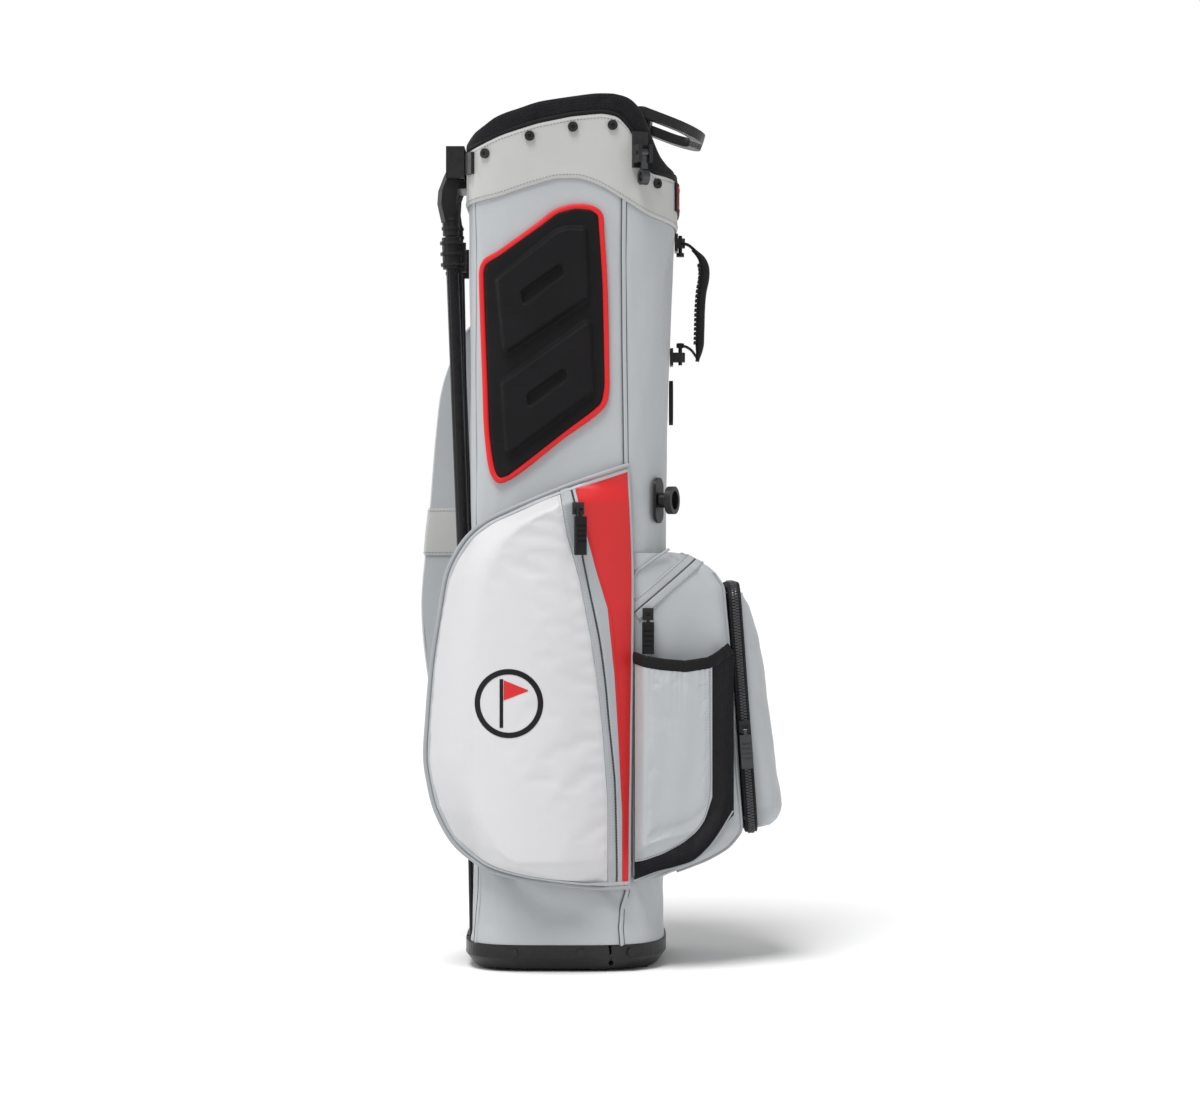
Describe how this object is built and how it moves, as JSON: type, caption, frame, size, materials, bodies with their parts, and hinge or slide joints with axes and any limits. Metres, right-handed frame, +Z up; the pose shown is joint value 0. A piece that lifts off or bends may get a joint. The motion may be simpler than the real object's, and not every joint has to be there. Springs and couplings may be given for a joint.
{
  "type": "golf stand bag",
  "caption": "Upright fabric golf bag with divided open top, side and front pockets, hip pad, lift handles and two fold-out spring legs worked by a tipping base.",
  "frame": {"origin": "centre of the base's underside, on the ground", "axes": "+Z up, +X towards the spine and ball pocket at the front, -Y towards the hip pad side"},
  "size_m": [0.3759, 0.3133, 0.878],
  "materials": {
    "black_fabric": "matte",
    "black_foam": "matte",
    "black_mesh": "matte",
    "black_plastic": "satin",
    "black_rubber": "matte",
    "black_tube": "gloss",
    "grey_leatherette": "satin",
    "grey_metal": "satin",
    "grey_nylon": "satin",
    "red_nylon": "satin",
    "red_piping": "satin",
    "stay_rod": "gloss",
    "steel": "brushed",
    "white_nylon": "satin",
    "zip_tape": "matte"
  },
  "bodies": {
    "bag": {"cuff_frame": "black_plastic", "divider_top": "black_plastic", "divider_panels": "black_fabric", "collar_pad": "black_mesh", "cuff_band": "grey_leatherette", "cuff_screws": "black_plastic", "cuff_patch": "black_rubber", "lift_handle": "black_plastic", "strap_hook_bracket": "black_plastic", "spine_panel": "grey_nylon", "side_panel_near": "grey_nylon", "side_panel_far": "grey_nylon", "back_panel": "grey_nylon", "body_skirt": "grey_nylon", "body_stays": "stay_rod", "hip_pad": "black_foam", "hip_pad_piping": "red_piping", "spine_patch": "black_rubber", "spine_anchors": "black_plastic", "base_front": "black_plastic", "base_hinge_pin": "steel", "base_screws_front": "steel", "leg_bracket": "black_plastic", "leg_bracket_wings": "black_plastic", "leg_hinge_pins": "steel", "leg_springs": "steel", "side_pocket": "white_nylon", "side_zip_tape": "zip_tape", "side_accent": "red_nylon", "long_pocket": "grey_nylon", "leg_strap": "grey_nylon", "ball_pocket": "grey_nylon", "bottle_sleeve": "grey_nylon", "sleeve_binding": "black_fabric", "panel_zip": "black_plastic", "front_panel": "grey_nylon", "strap_clip": "black_plastic"},
    "leg_near": {"leg_head_near": "black_plastic", "leg_tube_near": "black_tube", "leg_collar_near": "black_plastic", "leg_foot_near": "black_rubber"},
    "leg_far": {"leg_head_far": "black_plastic", "leg_tube_far": "black_tube", "leg_collar_far": "black_plastic", "leg_foot_far": "black_rubber"},
    "base": {"base_flap": "black_plastic", "base_screws_flap": "steel"},
    "rod_near": {"push_rod_near": "steel"},
    "rod_far": {"push_rod_far": "steel"},
    "grip": {"spine_grip": "black_plastic"},
    "strap_loop": {"strap_hook_loop": "steel"},
    "ring": {"strap_ring": "black_plastic"},
    "side_slider": {"side_zip_slider": "black_plastic"},
    "side_pull": {"side_zip_pull": "black_plastic"},
    "ball_slider": {"ball_zip_slider": "black_plastic"},
    "ball_pull": {"ball_zip_pull": "black_plastic"},
    "panel_slider": {"panel_zip_slider": "black_plastic"},
    "panel_pull": {"panel_zip_pull": "grey_metal"},
    "long_slider": {"long_zip_slider": "black_plastic"},
    "long_pull": {"long_zip_pull": "black_plastic"}
  },
  "joints": [
    {"name": "leg_near_fold", "type": "hinge", "parent": "bag", "child": "leg_near", "pos_m": [-0.115, -0.046, 0.812], "axis": [-0.4226, 0.9063, 0], "range_deg": [0, 38], "stiffness_Nm_per_rad": 0.8, "springref_deg": -57.3},
    {"name": "leg_far_fold", "type": "hinge", "parent": "bag", "child": "leg_far", "pos_m": [-0.115, 0.046, 0.812], "axis": [0.4226, 0.9063, 0], "range_deg": [0, 38]},
    {"name": "base_tip", "type": "hinge", "parent": "bag", "child": "base", "pos_m": [0.043, 0, 0.009], "axis": [0, 1, 0], "range_deg": [0, 7.76], "deforming": ["body_skirt"]},
    {"name": "rod_near_tilt", "type": "hinge", "parent": "base", "child": "rod_near", "pos_m": [-0.099, -0.028, 0.015], "axis": [0.1653, -0.9862, -0.0068], "range_deg": [0, 12.45]},
    {"name": "rod_far_tilt", "type": "hinge", "parent": "base", "child": "rod_far", "pos_m": [-0.099, 0.028, 0.015], "axis": [-0.1653, -0.9862, 0.0068], "range_deg": [0, 12.45]},
    {"name": "spine_grip_swing", "type": "hinge", "parent": "bag", "child": "grip", "pos_m": [0.115, 0, 0.69], "axis": [0, 0, 1], "range_deg": [-40, 40]},
    {"name": "strap_loop_swing", "type": "hinge", "parent": "bag", "child": "strap_loop", "pos_m": [0.07564, -0.10909, 0.818], "axis": [-0.9153, -0.4028, 0], "range_deg": [0, 75]},
    {"name": "strap_ring_turn", "type": "hinge", "parent": "bag", "child": "ring", "pos_m": [0.10526, -0.08237, 0.472], "axis": [0.9272, -0.3746, 0], "continuous": true},
    {"name": "side_zip_slide", "type": "slide", "parent": "bag", "child": "side_slider", "axis": [0.1143, 0.0736, -0.9907], "range_m": [0, 0.35329]},
    {"name": "side_pull_lift", "type": "hinge", "parent": "side_slider", "child": "side_pull", "pos_m": [0.01261, -0.14763, 0.459], "axis": [-0.8746, -0.4848, 0], "range_deg": [0, 100]},
    {"name": "ball_zip_slide", "type": "slide", "parent": "bag", "child": "ball_slider", "axis": [0.7178, 0.1497, 0.68], "range_m": [0, 0.05194]},
    {"name": "ball_pull_lift", "type": "hinge", "parent": "ball_slider", "child": "ball_pull", "pos_m": [0.08, -0.10501, 0.354], "axis": [-1, 0, 0], "range_deg": [0, 100]},
    {"name": "panel_zip_slide", "type": "slide", "parent": "bag", "child": "panel_slider", "axis": [-0.0732, 0, 0.9973], "range_m": [-0.07, 0.11]},
    {"name": "panel_pull_lift", "type": "hinge", "parent": "panel_slider", "child": "panel_pull", "pos_m": [0.17811, -0.08, 0.24001], "axis": [-0.9973, 0, -0.0732], "range_deg": [0, 100]},
    {"name": "long_zip_slide", "type": "slide", "parent": "bag", "child": "long_slider", "axis": [0, 0, -1], "range_m": [0, 0.44]},
    {"name": "long_pull_lift", "type": "hinge", "parent": "long_slider", "child": "long_pull", "pos_m": [0, 0.15811, 0.596], "axis": [1, 0, 0], "range_deg": [0, 100]}
  ],
  "couplings": [
    {"joint": "leg_far_fold", "follows": "leg_near_fold", "ratio": 1},
    {"joint": "base_tip", "follows": "leg_near_fold", "ratio": 0.20379},
    {"joint": "rod_near_tilt", "follows": "leg_near_fold", "ratio": 0.32705},
    {"joint": "rod_far_tilt", "follows": "leg_near_fold", "ratio": 0.32705}
  ]
}
